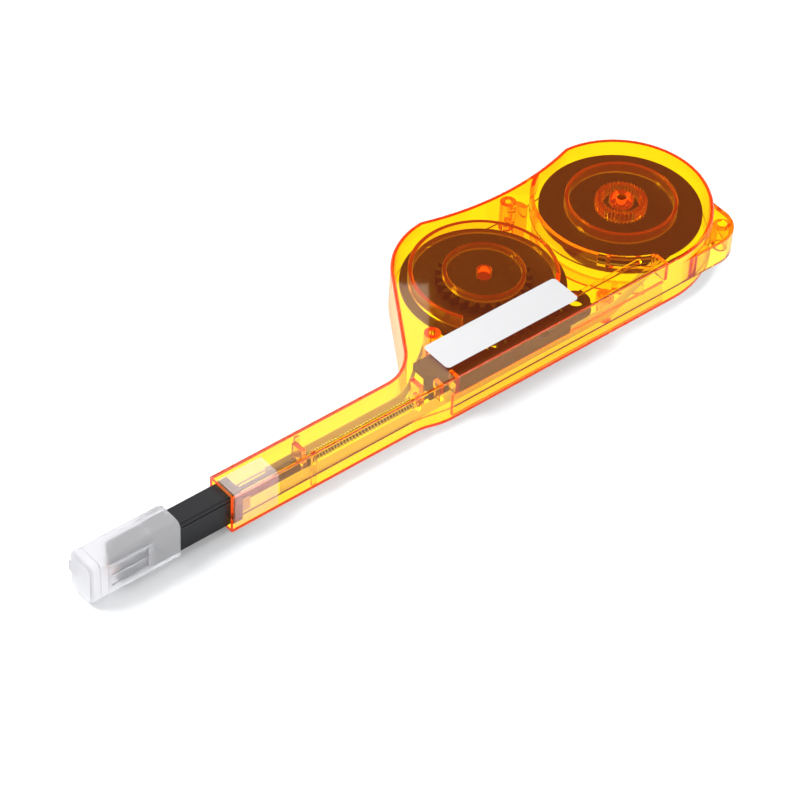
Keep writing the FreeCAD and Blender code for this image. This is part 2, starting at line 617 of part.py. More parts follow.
def rect_tube(x0, x1, y_mid, z_mid, width, height, wall, radius):
    """Rectangular tube along x with rounded outer edges."""
    def bar(w, h, r):
        shape = box(x0, x1, y_mid - w / 2, y_mid + w / 2, z_mid - h / 2, z_mid + h / 2)
        return shape.makeFillet(r, [e for e in shape.Edges if e.BoundBox.XLength > (x1 - x0) / 2])

    inner_r = max(radius - wall, radius / 3)
    return bar(width, height, radius).cut(bar(width - 2 * wall, height - 2 * wall, inner_r))


def nozzle_tube():
    tube = rect_tube(TUBE_FRONT, TUBE_REAR, AXIS_Y, AXIS_Z, TUBE_W, TUBE_H, TUBE_WALL, TUBE_EDGE_R)
    near, top = AXIS_Y - TUBE_W / 2, AXIS_Z + TUBE_H / 2 - GROOVE_OFF
    groove = box(TUBE_FRONT, TUBE_REAR, near - SLIDE, near + GROOVE_DEPTH, top - GROOVE_W, top)
    return tube.cut(groove)


def tip_head():
    """Flat head that presses the tape, with a rounded nose and a square root."""
    y0, y1 = AXIS_Y - HEAD_W / 2, AXIS_Y + HEAD_W / 2
    rear = HEAD_FRONT + HEAD_L
    head = box(HEAD_FRONT, rear, y0, y1, AXIS_Z - HEAD_H / 2, AXIS_Z + HEAD_H / 2)
    nose = [e for e in head.Edges if e.BoundBox.XMax < HEAD_FRONT + SLIDE and e.BoundBox.ZLength > HEAD_H / 2]
    head = head.makeFillet(HEAD_EDGE_R, nose)
    inner = TUBE_H / 2 - TUBE_WALL - SLIDE
    root = box(rear - HEAD_ROOT_L, rear, y0, y1, AXIS_Z - inner, AXIS_Z + inner)
    return head.fuse(root).removeSplitter()


def tip_tape():
    """Tape folded round the head, from the tube's rear end and back."""
    rear = TUBE_REAR + TIP_TAPE_PAST
    half = HEAD_W / 2
    spread = TUBE_W / 2 - TUBE_WALL - GAP - TAPE_T
    edges = []
    outline = []
    for out in (0.0, TAPE_T):
        h, w = half + SLIDE + out, spread + out
        nose_x = HEAD_FRONT + half
        outline.append([at(rear, AXIS_Y - w), at(HEAD_FRONT + HEAD_L - 2.0, AXIS_Y - w), at(nose_x, AXIS_Y - h),
                        at(nose_x - h, AXIS_Y), at(nose_x, AXIS_Y + h),
                        at(HEAD_FRONT + HEAD_L - 2.0, AXIS_Y + w), at(rear, AXIS_Y + w)])
    for a, b, c, tip, d, e, f in outline:
        edges += [line(a, b), line(b, c), Part.Arc(c, tip, d).toShape(), line(d, e), line(e, f)]
    edges += [line(outline[0][0], outline[1][0]), line(outline[0][6], outline[1][6])]
    face = Part.Face(Part.Wire(Part.__sortEdges__(edges)))
    face.translate(at(0, 0, TAPE_Z0))
    return face.extrude(at(0, 0, TAPE_W))


def push_shaft():
    """Shaft from the head's root to the slider, with the spring's shoulder and a collar in the tube."""
    x0 = HEAD_FRONT + HEAD_L
    along = at(1, 0, 0)
    shoulder_x = NOSE_GUIDE_X + BULKHEAD_T + GAP
    shaft = Part.makeCylinder(SHAFT_R, shoulder_x - x0, at(x0, AXIS_Y, AXIS_Z), along)
    shaft = shaft.fuse(Part.makeCylinder(ROD_R, SHAFT_END - shoulder_x, at(shoulder_x, AXIS_Y, AXIS_Z), along))
    shaft = shaft.fuse(Part.makeCylinder(SHOULDER_R, SHOULDER_T, at(shoulder_x, AXIS_Y, AXIS_Z), along))
    inner = TUBE_H / 2 - TUBE_WALL - SLIDE
    collar = box(TUBE_REAR - COLLAR_FROM, TUBE_REAR - COLLAR_TO, AXIS_Y - SHAFT_R, AXIS_Y + SHAFT_R,
                 AXIS_Z - inner, AXIS_Z + inner)
    return shaft.fuse(collar).removeSplitter()


def rack_slider():
    """Slider along the spine: clamp on the shaft, wide plate, rack, skirt on the rail and an eye at its end."""
    y0 = SPINE_IN + 2 * SLIDE
    root_y = RACK_Y - DEDENDUM * MODULE
    clamp_x = SHAFT_END - CLAMP_L
    clamp_y0 = AXIS_Y - SHOULDER_R
    clamp = box(clamp_x, SHAFT_END + 1.0, clamp_y0, AXIS_Y + SHOULDER_R, AXIS_Z - SHOULDER_R, SLIDER_Z0)
    bore = Part.makeCylinder(ROD_R, SHAFT_END - clamp_x, at(clamp_x, AXIS_Y, AXIS_Z), at(1, 0, 0))
    shape = clamp.cut(bore)
    plates = [
        box(clamp_x, SLIDER_X0, clamp_y0, SLIDER_WIDE_Y, SLIDER_Z0, SLIDER_Z1),
        box(SLIDER_X0, SLIDER_WIDE_END, y0, SLIDER_WIDE_Y, SLIDER_Z0, SLIDER_Z1),
        box(SLIDER_WIDE_END, EYE_X, y0, root_y, SLIDER_Z0, SLIDER_Z1),
        box(SLIDER_X0, SLIDER_REAR, y0, y0 + SLIDER_SKIRT_T, SLIDER_SKIRT_Z, SLIDER_Z0),
        disc(EYE_X, EYE_Y, EYE_R, SLIDER_Z0, SLIDER_Z1),
    ]
    for plate in plates:
        shape = shape.fuse(plate)
    pitch = math.pi * MODULE
    for i in range(RACK_TEETH):
        x = TAKE_UP_X + (2 - i) * pitch
        shape = shape.fuse(rack_tooth(x, root_y))
    shape = shape.cut(disc(EYE_X, EYE_Y, EYE_HOLE_R, SLIDER_Z0, SLIDER_Z1))
    notch = box(SLIDER_REAR - NOTCH_FROM, SLIDER_REAR - NOTCH_TO, y0, y0 + NOTCH_DEPTH,
                SLIDER_Z1 - NOTCH_H, SLIDER_Z1)
    return shape.cut(notch).removeSplitter()


def rack_tooth(x, root_y):
    half = math.pi * MODULE / 4 - BACKLASH
    slope = math.tan(PRESSURE)
    low, high = half + DEDENDUM * MODULE * slope, half - ADDENDUM * MODULE * slope
    tip_y = RACK_Y + ADDENDUM * MODULE
    foot_y = root_y - GAP
    points = [at(x - low, foot_y), at(x + low, foot_y), at(x + low, root_y), at(x + high, tip_y)]
    points += [at(x - high, tip_y), at(x - low, root_y), at(x - low, foot_y)]
    face = Part.Face(Part.makePolygon([p + at(0, 0, SLIDER_Z0) for p in points]))
    return face.extrude(at(0, 0, SLIDER_Z1 - SLIDER_Z0))


def main_spring():
    """Coil spring between the shoulder and the fixed bulkhead, of straight pieces of square wire."""
    half = WIRE / 2
    start = NOSE_GUIDE_X + BULKHEAD_T + GAP + SHOULDER_T + SLIDE + half
    length = SPRING_STOP_X - SLIDE - half - start
    steps = SPRING_TURNS * WIRE_STEPS

    def section(step):
        x = start + length * step / steps
        turn = 2 * math.pi * step / WIRE_STEPS
        corners = [(-half, -half), (half, -half), (half, half), (-half, half)]
        across, up = math.cos(turn), math.sin(turn)
        return [at(x + along, AXIS_Y + (SPRING_R + out) * across, AXIS_Z + (SPRING_R + out) * up)
                for along, out in corners]

    def facet(*points):
        return Part.Face(Part.makePolygon(list(points) + [points[0]]))

    faces = [facet(*section(0)), facet(*section(steps))]
    for step in range(steps):
        near, far = section(step), section(step + 1)
        for i in range(4):
            j = (i + 1) % 4
            faces += [facet(near[i], near[j], far[j]), facet(near[i], far[j], far[i])]
    return Part.makeSolid(Part.makeShell(faces))


def reel(x, top, upper_bore, collar_r, collar_top):
    shape = disc(x, REEL_Y, LOWER_FLANGE_R, REEL_Z0, REEL_Z0 + FLANGE_T)
    shape = shape.fuse(disc(x, REEL_Y, CORE_R, REEL_Z0, top))
    shape = shape.fuse(disc(x, REEL_Y, FLANGE_R, top - FLANGE_T, top))
    if collar_top > top:
        shape = shape.fuse(disc(x, REEL_Y, collar_r, top, collar_top))
    shape = shape.cut(disc(x, REEL_Y, SPINDLE_R + RUN, REEL_Z0, SPINDLE_TOP + GAP))
    return shape.cut(disc(x, REEL_Y, upper_bore, SPINDLE_TOP + GAP, collar_top)).removeSplitter()


def tape_roll(x, roll_r):
    return ring(x, REEL_Y, roll_r, CORE_R, TAPE_Z0, TAPE_Z1)


def guide_roller():
    return ring(ROLLER_X, ROLLER_Y, ROLLER_R, ROLLER_PIN_R + RUN, TAPE_Z0 - GAP, TAPE_Z1 + GAP)


def ribbon(points):
    """Thin upright band whose plan outline is the closed list of edges given by points."""
    face = Part.Face(Part.Wire(Part.__sortEdges__(points)))
    face.translate(at(0, 0, TAPE_Z0))
    return face.extrude(at(0, 0, TAPE_W))


def feed_tape():
    """Tape from beside the supply roll, round the roller and along the spine to the nose."""
    roll = SUPPLY_ROLL_R + GAP
    wrap = ROLLER_R + GAP
    dx, dy = SUPPLY_X - ROLLER_X, REEL_Y - ROLLER_Y
    lean = math.degrees(math.atan2(dy, dx)) - math.degrees(math.asin((roll - wrap) / math.hypot(dx, dy)))
    edges = []
    ends = []
    for out in (0.0, TAPE_T):
        start = at(TAPE_SPLIT_X, ROLLER_Y - wrap - out)
        turn = [on_circle(ROLLER_X, ROLLER_Y, wrap + out, deg) for deg in (-90.0, lean / 2 - 90.0, lean - 90.0)]
        leave = on_circle(SUPPLY_X, REEL_Y, roll + out, lean - 90.0)
        edges += [line(start, turn[0]), Part.Arc(*turn).toShape(), line(turn[2], leave)]
        ends.append((start, leave))
    edges += [line(ends[0][0], ends[1][0]), line(ends[0][1], ends[1][1])]
    return ribbon(edges)


def return_tape():
    """Tape back from the nose, round the neck and past the guide boss to the take-up roll."""
    neck_x, neck_y = neck_centre()
    bend, lean = return_run()
    roll = TAKE_UP_ROLL_R + GAP
    edges = []
    ends = []
    for inner in (0.0, TAPE_T):
        start = at(TAPE_SPLIT_X, neck_y - bend + inner)
        turn = [on_circle(neck_x, neck_y, bend - inner, deg) for deg in (-90.0, lean / 2 - 90.0, lean - 90.0)]
        leave = on_circle(TAKE_UP_X, REEL_Y, roll + inner, lean + 90.0)
        edges += [line(start, turn[0]), Part.Arc(*turn).toShape(), line(turn[2], leave)]
        ends.append((start, leave))
    edges += [line(ends[0][0], ends[1][0]), line(ends[0][1], ends[1][1])]
    return ribbon(edges)


def guide_cap():
    """Clear cap: a rounded rectangular sleeve, a collar that grips the nozzle, grip windows and hinge ears."""
    y_mid = CAP_Y0 + CAP_W / 2
    shape = rect_tube(CAP_FRONT, CAP_REAR, y_mid, AXIS_Z, CAP_W, CAP_H, CAP_WALL, CAP_R)
    fill = box(CAP_REAR - COLLAR_L, CAP_REAR, CAP_Y0 + CAP_WALL / 2, CAP_FAR_Y - CAP_WALL / 2,
               CAP_Z0 + CAP_WALL / 2, CAP_Z1 - CAP_WALL / 2)
    fill = fill.makeFillet(CAP_R - CAP_WALL / 2, [e for e in fill.Edges if e.BoundBox.XLength > 1.0])
    shape = shape.fuse(fill)
    half_w, half_h = TUBE_W / 2 + SLIDE, TUBE_H / 2 + SLIDE
    shape = shape.cut(box(CAP_REAR - COLLAR_L, CAP_REAR, AXIS_Y - half_w, AXIS_Y + half_w,
                          AXIS_Z - half_h, AXIS_Z + half_h))
    x0, x1 = CAP_FRONT + GRIP_FROM, CAP_REAR - COLLAR_L - GRIP_TO
    for z in (CAP_GRIP_Z, CAP_GRIP_Z + GRIP_PITCH):
        shape = shape.cut(box(x0, x1, CAP_Y0 - SLIDE, CAP_Y0 + CAP_WALL + SLIDE, z, z + GRIP_H))
    for side in (-1, 1):
        z0 = AXIS_Z + side * (BARREL_L / 2 + SLIDE + EAR_L / 2) - EAR_L / 2
        ear = disc(HINGE_X, HINGE_Y, HINGE_R, z0, z0 + EAR_L)
        ear = ear.fuse(box(HINGE_X, CAP_FRONT + EAR_REACH, CAP_FAR_Y - CAP_WALL / 2, HINGE_Y + HINGE_R / 2,
                           z0, z0 + EAR_L))
        shape = shape.fuse(ear)
    pin_half = BARREL_L / 2 + SLIDE + EAR_L / 2
    pin = disc(HINGE_X, HINGE_Y, HINGE_PIN_R, AXIS_Z - pin_half, AXIS_Z + pin_half)
    return shape.fuse(pin).removeSplitter()


def cap_lid():
    """Shallow cup that closes the cap's mouth and turns on the pin at its far side."""
    x1 = CAP_FRONT - SLIDE
    x0 = x1 - LID_L
    shape = box(x0, x1, CAP_Y0, CAP_FAR_Y, CAP_Z0, CAP_Z1)
    shape = shape.makeFillet(CAP_R, [e for e in shape.Edges if e.BoundBox.XLength > LID_L / 2])
    front = [e for e in shape.Edges if e.BoundBox.XMax < x0 + SLIDE]
    shape = shape.makeChamfer(LID_BEVEL, front)
    inner = box(x0 + CAP_WALL, x1, CAP_Y0 + CAP_WALL, CAP_FAR_Y - CAP_WALL,
                CAP_Z0 + CAP_WALL, CAP_Z1 - CAP_WALL)
    inner = inner.makeFillet(CAP_R - CAP_WALL, [e for e in inner.Edges if e.BoundBox.XLength > LID_L / 2])
    shape = shape.cut(inner)
    pin_half = BARREL_L / 2 + 2 * SLIDE + EAR_L
    seat_y = CAP_FAR_Y - CAP_WALL - GAP
    shape = shape.cut(box(HINGE_X - HINGE_R - GAP, x1, seat_y, HINGE_Y, AXIS_Z - pin_half, AXIS_Z + pin_half))
    barrel = disc(HINGE_X, HINGE_Y, HINGE_R, AXIS_Z - BARREL_L / 2, AXIS_Z + BARREL_L / 2)
    web = box(x0 + CAP_WALL / 2, HINGE_X, seat_y - SLIDE, HINGE_Y, AXIS_Z - BARREL_L / 2, AXIS_Z + BARREL_L / 2)
    shape = shape.fuse(barrel).fuse(web)
    return shape.cut(disc(HINGE_X, HINGE_Y, HINGE_PIN_R + RUN, CAP_Z0, CAP_Z1)).removeSplitter()


def build():
    take_up_bore, supply_bore = TAKE_UP_PIN_R + RUN, SUPPLY_PIN_R + RUN
    collar_top = SUPPLY_TOP + SUPPLY_COLLAR_H
    tooth_deg = 180.0 / IDLER_TEETH
    block = rounded_housing()
    cavity = housing_block(WALL, -WALL)
    lower_half = below_parting()
    big_gear = gear(TAKE_UP_X, REEL_Y, TAKE_UP_TEETH, -90.0, TAKE_UP_TOP, TAKE_UP_GEAR_TOP, take_up_bore)
    return {
        "upper_shell": upper_shell(block, cavity, lower_half),
        "lower_shell": lower_shell(block, cavity, lower_half),
        "name_label": name_label(),
        "nose_film": nose_film(),
        "nozzle_tube": nozzle_tube(),
        "tip_head": tip_head(),
        "tip_tape": tip_tape(),
        "push_shaft": push_shaft(),
        "rack_slider": rack_slider(),
        "main_spring": main_spring(),
        "idler_gear": gear(TAKE_UP_X, IDLER_Y, IDLER_TEETH, tooth_deg, IDLER_Z0, IDLER_Z1, IDLER_PIN_R + RUN),
        "take_up_gear": big_gear,
        "take_up_reel": reel(TAKE_UP_X, TAKE_UP_TOP, take_up_bore, CORE_R, TAKE_UP_TOP),
        "take_up_tape": tape_roll(TAKE_UP_X, TAKE_UP_ROLL_R),
        "supply_reel": reel(SUPPLY_X, SUPPLY_TOP, supply_bore, SUPPLY_COLLAR_R, collar_top),
        "supply_tape": tape_roll(SUPPLY_X, SUPPLY_ROLL_R),
        "guide_roller": guide_roller(),
        "feed_tape": feed_tape(),
        "return_tape": return_tape(),
        "guide_cap": guide_cap(),
        "cap_lid": cap_lid(),
    }


def main():
    os.makedirs("parts", exist_ok=True)
    shapes = build()
    front = CAP_FRONT - SLIDE - LID_L
    rear = SUPPLY_X + BULGE_R
    middle = at((front + rear) / 2, (REEL_Y + BULGE_R - SPINE_STEP) / 2)
    for name, shape in shapes.items():
        shape.translate(middle * -1)
        shape.exportStep(os.path.join("parts", name + ".step"))
        print(name, shape.isValid(), len(shape.Solids), round(shape.Volume, 1))


main()
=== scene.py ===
import json
import math

import bpy
from mathutils import Matrix, Vector


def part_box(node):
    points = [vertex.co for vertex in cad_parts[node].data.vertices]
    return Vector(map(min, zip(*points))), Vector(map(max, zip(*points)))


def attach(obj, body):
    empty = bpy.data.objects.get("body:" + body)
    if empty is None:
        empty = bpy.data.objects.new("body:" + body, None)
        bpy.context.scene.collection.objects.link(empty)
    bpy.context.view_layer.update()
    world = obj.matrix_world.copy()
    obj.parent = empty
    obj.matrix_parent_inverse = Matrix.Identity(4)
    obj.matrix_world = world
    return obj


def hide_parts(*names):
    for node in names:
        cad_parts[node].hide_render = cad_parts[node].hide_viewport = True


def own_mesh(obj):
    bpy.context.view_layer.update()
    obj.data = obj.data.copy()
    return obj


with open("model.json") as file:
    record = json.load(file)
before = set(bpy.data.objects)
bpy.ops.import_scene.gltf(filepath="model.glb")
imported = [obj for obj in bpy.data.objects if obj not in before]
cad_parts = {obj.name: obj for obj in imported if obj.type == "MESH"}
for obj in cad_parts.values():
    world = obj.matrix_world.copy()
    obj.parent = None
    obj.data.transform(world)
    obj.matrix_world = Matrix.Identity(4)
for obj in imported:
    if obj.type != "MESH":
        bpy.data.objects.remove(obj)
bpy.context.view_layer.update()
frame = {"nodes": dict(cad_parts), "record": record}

MM = 0.001

# Camera: the view over the pen's straight side, from its nose end
CAM_AZIMUTH = math.radians(-41.68)
CAM_ELEVATION = math.radians(43.64)
CAM_ROLL = math.radians(-3.31)
CAM_DISTANCE = 0.9456
CAM_LENS = 154.7
CAM_SENSOR = 36.0
CAM_CLIP = 0.01
CAM_TARGET = Vector((-9.0 * MM, -19.4 * MM, 8.0 * MM))

# Floor
FLOOR_HALF = 3.0
FLOOR_DROP = 0.05 * MM  # below the pen's underside
FLOOR_COLOUR = (0.91, 0.925, 0.94)
FLOOR_ROUGHNESS = 0.9
BACKLIGHT = 1.4         # its brightness seen through clear plastic
FLOOR_LIFT = 0.15       # its own light in direct view near the pen
FLOOR_FAR_LIFT = 1.2    # and far from it, where the lamps do not reach
FLOOR_NEAR = 0.19       # metres from the middle of the pen
FLOOR_FAR = 0.45

# Lamps: name, place, width, power
LAMPS = (("key", (-0.5, 0.5, 1.0), 0.6, 11.0), ("fill", (0.5, -1.0, 0.45), 0.6, 4.0))

# Card whose reflection lies on the nose's top face
CARD_SPOT = Vector((-60.0, -10.0, 16.0)) * MM
CARD_AWAY = 0.4
CARD_SIZE = (0.15, 0.12)
CARD_POWER = 0.15

# Studio sky: brightness overhead, and the share of it from there down to the horizon
ZENITH = 2.0
MIDDLE = 0.05
HORIZON = 0.5
SKY_BANDS = ((0.22, HORIZON), (0.4, MIDDLE), (0.8, MIDDLE))

BOUNCES = 24            # light has many walls to pass

# Dye of the housing, and a painted orange-red glow of its own inside it
DYE_CLEAR = (0.993, 0.935, 0.0)     # what passes through it
DYE_DENSITY = 2500.0                # how strongly it takes the rest
# Painted glow: the plastic's volume gives off orange-red light of its own, though it is no lamp
PAINTED_GLOW_COLOUR = (1.0, 0.1, 0.0)
PAINTED_GLOW_STRENGTH = 70.0

# Grain, in features per metre, and its fineness
SHELL_GRAIN = 120.0
MOULD_GRAIN = 2500.0
CLEAR_GRAIN = 1800.0
TAPE_GRAIN = 4000.0
WIRE_GRAIN = 3000.0
LABEL_GRAIN = 900.0
GRAIN_DETAIL = 3.0

# Grip recesses in the cap's near face
CAP_WALL = 0.6 * MM
GRIP_X = (-111.6 * MM, -99.8 * MM)
GRIP_Z = (5.5 * MM, 9.2 * MM)       # lower edge of each
GRIP_H = 3.1 * MM
PANE_INSET = 0.25 * MM              # depth of their floors
PANE_PLAY = 0.03 * MM               # between the floors and the wall, and rounding of their edges
PAD_MARGIN = 1.1 * MM               # raised frame round both
PAD_RISE = 0.2 * MM

# Spring
SPRING_TURNS = 36
SPRING_WIRE = 0.42 * MM
SPRING_CLOSING = 0.012  # how much closer the turns are at the ends
WIRE_SIDES = 8
TURN_STEPS = 24


# Materials ----------------------------------------------------------------------------------------

def material(name):
    """New node material: (material, nodes, links, principled shader)."""
    mat = bpy.data.materials.new(name)
    mat.use_nodes = True
    nodes = mat.node_tree.nodes
    return mat, nodes, mat.node_tree.links, nodes["Principled BSDF"]


def noise(nodes, links, scale, stretch=(1.0, 1.0, 1.0)):
    """Noise in object space, with scale in features per metre."""
    place = nodes.new("ShaderNodeTexCoord")
    mapping = nodes.new("ShaderNodeMapping")
    mapping.inputs["Scale"].default_value = stretch
    texture = nodes.new("ShaderNodeTexNoise")
    texture.inputs["Scale"].default_value = scale
    texture.inputs["Detail"].default_value = GRAIN_DETAIL
    links.new(place.outputs["Object"], mapping.inputs["Vector"])
    links.new(mapping.outputs["Vector"], texture.inputs["Vector"])
    return texture


def ramp(nodes, links, source, low, high, start=0.0, end=1.0):
    """Map a value from start to end onto a range."""
    spread = nodes.new("ShaderNodeMapRange")
    spread.inputs["From Min"].default_value = start
    spread.inputs["From Max"].default_value = end
    spread.inputs["To Min"].default_value = low
    spread.inputs["To Max"].default_value = high
    links.new(source, spread.inputs["Value"])
    return spread.outputs["Result"]


def shade(nodes, links, shader, source, colour, spread):
    """Base colour that wanders by a small share around one colour."""
    mix = nodes.new("ShaderNodeMix")
    mix.data_type = "RGBA"
    low, high = mix.inputs[6], mix.inputs[7]
    low.default_value = (*(c * (1 - spread) for c in colour), 1.0)
    high.default_value = (*(min(1.0, c * (1 + spread)) for c in colour), 1.0)
    links.new(source, mix.inputs[0])
    links.new(mix.outputs[2], shader.inputs["Base Color"])


def bump(nodes, links, shader, source, strength, distance):
    """Relief of a given height on a shader."""
    node = nodes.new("ShaderNodeBump")
    node.inputs["Strength"].default_value = strength
    node.inputs["Distance"].default_value = distance
    links.new(source, node.inputs["Height"])
    links.new(node.outputs["Normal"], shader.inputs["Normal"])


def dye_and_painted_glow(nodes, links):
    """Tinted plastic: light fades along its path inside, and a painted glow adds orange-red light throughout
    its volume.
    """
    absorb = nodes.new("ShaderNodeVolumeAbsorption")
    absorb.inputs["Color"].default_value = (*DYE_CLEAR, 1.0)
    absorb.inputs["Density"].default_value = DYE_DENSITY
    # Painted glow: orange-red light given off by the whole volume
    painted_glow = nodes.new("ShaderNodeEmission")
    painted_glow.inputs["Color"].default_value = (*PAINTED_GLOW_COLOUR, 1.0)
    painted_glow.inputs["Strength"].default_value = PAINTED_GLOW_STRENGTH
    add = nodes.new("ShaderNodeAddShader")
    links.new(absorb.outputs["Volume"], add.inputs[0])
    links.new(painted_glow.outputs["Emission"], add.inputs[1])
    links.new(add.outputs["Shader"], nodes["Material Output"].inputs["Volume"])


def orange_plastic():
    """Clear orange plastic of the housing, with a pale bloom at glancing angles and a painted glow inside it.
    """
    mat, nodes, links, shader = material("orange_plastic")
    shader.inputs["Transmission Weight"].default_value = 1.0
    shader.inputs["IOR"].default_value = 1.4
    shader.inputs["Sheen Weight"].default_value = 1.0
    shader.inputs["Sheen Roughness"].default_value = 0.3
    shader.inputs["Sheen Tint"].default_value = (1.0, 0.58, 0.28, 1.0)
    texture = noise(nodes, links, SHELL_GRAIN)
    shade(nodes, links, shader, texture.outputs["Fac"], (0.99, 0.99, 0.99), 0.01)
    links.new(ramp(nodes, links, texture.outputs["Fac"], 0.02, 0.05), shader.inputs["Roughness"])
    bump(nodes, links, shader, texture.outputs["Fac"], 0.05, 0.05 * MM)
    dye_and_painted_glow(nodes, links)
    return mat


def plain_plastic(name, colour, roughness):
    """Solid moulded plastic."""
    mat, nodes, links, shader = material(name)
    shader.inputs["Specular IOR Level"].default_value = 0.25
    texture = noise(nodes, links, MOULD_GRAIN)
    shade(nodes, links, shader, texture.outputs["Fac"], colour, 0.12)
    uneven = ramp(nodes, links, texture.outputs["Fac"], roughness - 0.06, roughness + 0.06)
    links.new(uneven, shader.inputs["Roughness"])
    bump(nodes, links, shader, texture.outputs["Fac"], 0.3, 0.02 * MM)
    return mat


def clear_film():
    """Clear film that shows what lies behind it, with a milky share of its own."""
    mat, nodes, links, shader = material("clear_film")
    shader.inputs["Alpha"].default_value = 0.2
    texture = noise(nodes, links, CLEAR_GRAIN)
    shade(nodes, links, shader, texture.outputs["Fac"], (0.8, 0.81, 0.83), 0.03)
    links.new(ramp(nodes, links, texture.outputs["Fac"], 0.07, 0.13), shader.inputs["Roughness"])
    bump(nodes, links, shader, texture.outputs["Fac"], 0.15, 0.02 * MM)
    return mat


def frosted_plastic():
    """Frosted clear plastic: what lies behind it shows as a soft blur."""
    mat, nodes, links, shader = material("frosted_plastic")
    shader.inputs["Transmission Weight"].default_value = 0.76
    shader.inputs["IOR"].default_value = 1.2
    texture = noise(nodes, links, CLEAR_GRAIN)
    shade(nodes, links, shader, texture.outputs["Fac"], (0.95, 0.95, 0.97), 0.02)
    links.new(ramp(nodes, links, texture.outputs["Fac"], 0.3, 0.38), shader.inputs["Roughness"])
    bump(nodes, links, shader, texture.outputs["Fac"], 0.15, 0.02 * MM)
    return mat


def woven_tape():
    """Matt cloth, its colour painted a warm orange-pink that stands in for light tinted by the housing."""
    mat, nodes, links, shader = material("woven_tape")
    texture = noise(nodes, links, TAPE_GRAIN)
    # Painted tint: the warm orange-pink stands in for tinted light; the cloth itself is white
    shade(nodes, links, shader, texture.outputs["Fac"], (0.94, 0.64, 0.54), 0.06)
    links.new(ramp(nodes, links, texture.outputs["Fac"], 0.72, 0.88), shader.inputs["Roughness"])
    bump(nodes, links, shader, texture.outputs["Fac"], 0.5, 0.03 * MM)
    return mat


def steel():
    """Drawn spring wire."""
    mat, nodes, links, shader = material("spring_steel")
    shader.inputs["Metallic"].default_value = 1.0
    texture = noise(nodes, links, WIRE_GRAIN)
    shade(nodes, links, shader, texture.outputs["Fac"], (0.6, 0.6, 0.6), 0.06)
    links.new(ramp(nodes, links, texture.outputs["Fac"], 0.2, 0.35), shader.inputs["Roughness"])
    bump(nodes, links, shader, texture.outputs["Fac"], 0.1, 0.01 * MM)
    return mat


def silver_label():
    """Satin silver film."""
    mat, nodes, links, shader = material("silver_label")
    shader.inputs["Metallic"].default_value = 0.1
    texture = noise(nodes, links, LABEL_GRAIN, stretch=(0.2, 1.0, 1.0))
    shade(nodes, links, shader, texture.outputs["Fac"], (0.74, 0.74, 0.75), 0.02)
    links.new(ramp(nodes, links, texture.outputs["Fac"], 0.3, 0.4), shader.inputs["Roughness"])
    bump(nodes, links, shader, texture.outputs["Fac"], 0.1, 0.01 * MM)
    return mat


def finish_nodes():
    """Give every solid the look of its slot, fit the grips, and let the lamps into the housing."""
    looks = {
        "orange_shell": orange_plastic(),
        "reel_plastic": plain_plastic("reel_plastic", (0.03, 0.003, 0.002), 0.5),
        "black_plastic": plain_plastic("black_plastic", (0.01, 0.01, 0.012), 0.34),
        "cleaning_tape": woven_tape(),
        "clear_plastic": frosted_plastic(),
        "clear_film": clear_film(),
        "spring_steel": steel(),
        "label_silver": silver_label(),
    }
    grip_panes(looks["clear_plastic"])
    for part in frame["record"]["subparts"]:
        mesh = frame["nodes"][part["node"]].data
        mesh.materials.clear()
        mesh.materials.append(looks[part["material_slot"]])
    for name in ("upper_shell", "lower_shell"):
        frame["nodes"][name].visible_diffuse = False
    frame["nodes"]["upper_shell"].visible_shadow = False


# Extra pieces -------------------------------------------------------------------------------------

def linked(name, data):
    """New object in the scene."""
    obj = bpy.data.objects.new(name, data)
    bpy.context.scene.collection.objects.link(obj)
    return obj


def coil(name, low, high, turns, wire):
    """Round wire wound along X inside a box, with its turns a little closer at both ends."""
    mid_y, mid_z = (low.y + high.y) / 2, (low.z + high.z) / 2
    radius = (high.y - low.y) / 2 - wire / 2
    sides, steps = WIRE_SIDES, turns * TURN_STEPS
    length = high.x - low.x - wire
    verts, faces = [], []
    for i in range(steps + 1):
        share = i / steps
        turn = 2 * math.pi * share * turns
        eased = share - SPRING_CLOSING * math.sin(2 * math.pi * share)
        across = Vector((0, math.cos(turn), math.sin(turn)))
        centre = Vector((low.x + wire / 2 + length * eased, mid_y, mid_z)) + across * radius
        for j in range(sides):
            a = 2 * math.pi * j / sides
            verts.append(centre + (across * math.cos(a) + Vector((1, 0, 0)) * math.sin(a)) * wire / 2)
    for i in range(steps):
        for j in range(sides):
            k = (j + 1) % sides
            faces.append((i * sides + j, i * sides + k, (i + 1) * sides + k, (i + 1) * sides + j))
    faces.append(tuple(range(sides)))
    faces.append(tuple(reversed(range(steps * sides, (steps + 1) * sides))))
    mesh = bpy.data.meshes.new(name)
    mesh.from_pydata(verts, [], faces)
    mesh.shade_smooth()
    return linked(name, mesh)


def spring():
    """Round wire in place of the spring's straight-sided solid."""
    low, high = (Vector(v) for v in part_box("main_spring"))
    wire = coil("round_spring", low, high, SPRING_TURNS, SPRING_WIRE)
    wire.data.materials.append(steel())
    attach(wire, "housing")
    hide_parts("main_spring")
    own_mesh(wire)


def closed_box(verts, faces, low, high):
    """Add an axis-aligned box to lists of points and faces."""
    base = len(verts)
    for x in (low[0], high[0]):
        for y in (low[1], high[1]):
            for z in (low[2], high[2]):
                verts.append((x, y, z))
    for a, b, c, d in ((0, 1, 3, 2), (4, 6, 7, 5), (0, 4, 5, 1), (2, 3, 7, 6), (0, 2, 6, 4), (1, 5, 7, 3)):
        faces.append((base + a, base + b, base + c, base + d))


def cap_piece(name, verts, faces, mat):
    """Piece on the cap with its edges rounded off."""
    mesh = bpy.data.meshes.new(name)
    mesh.from_pydata(verts, [], faces)
    mesh.materials.append(mat)
    obj = linked(name, mesh)
    bevel = obj.modifiers.new("soft_edges", "BEVEL")
    bevel.width = PANE_PLAY
    bevel.segments = 3
    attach(obj, "cap")


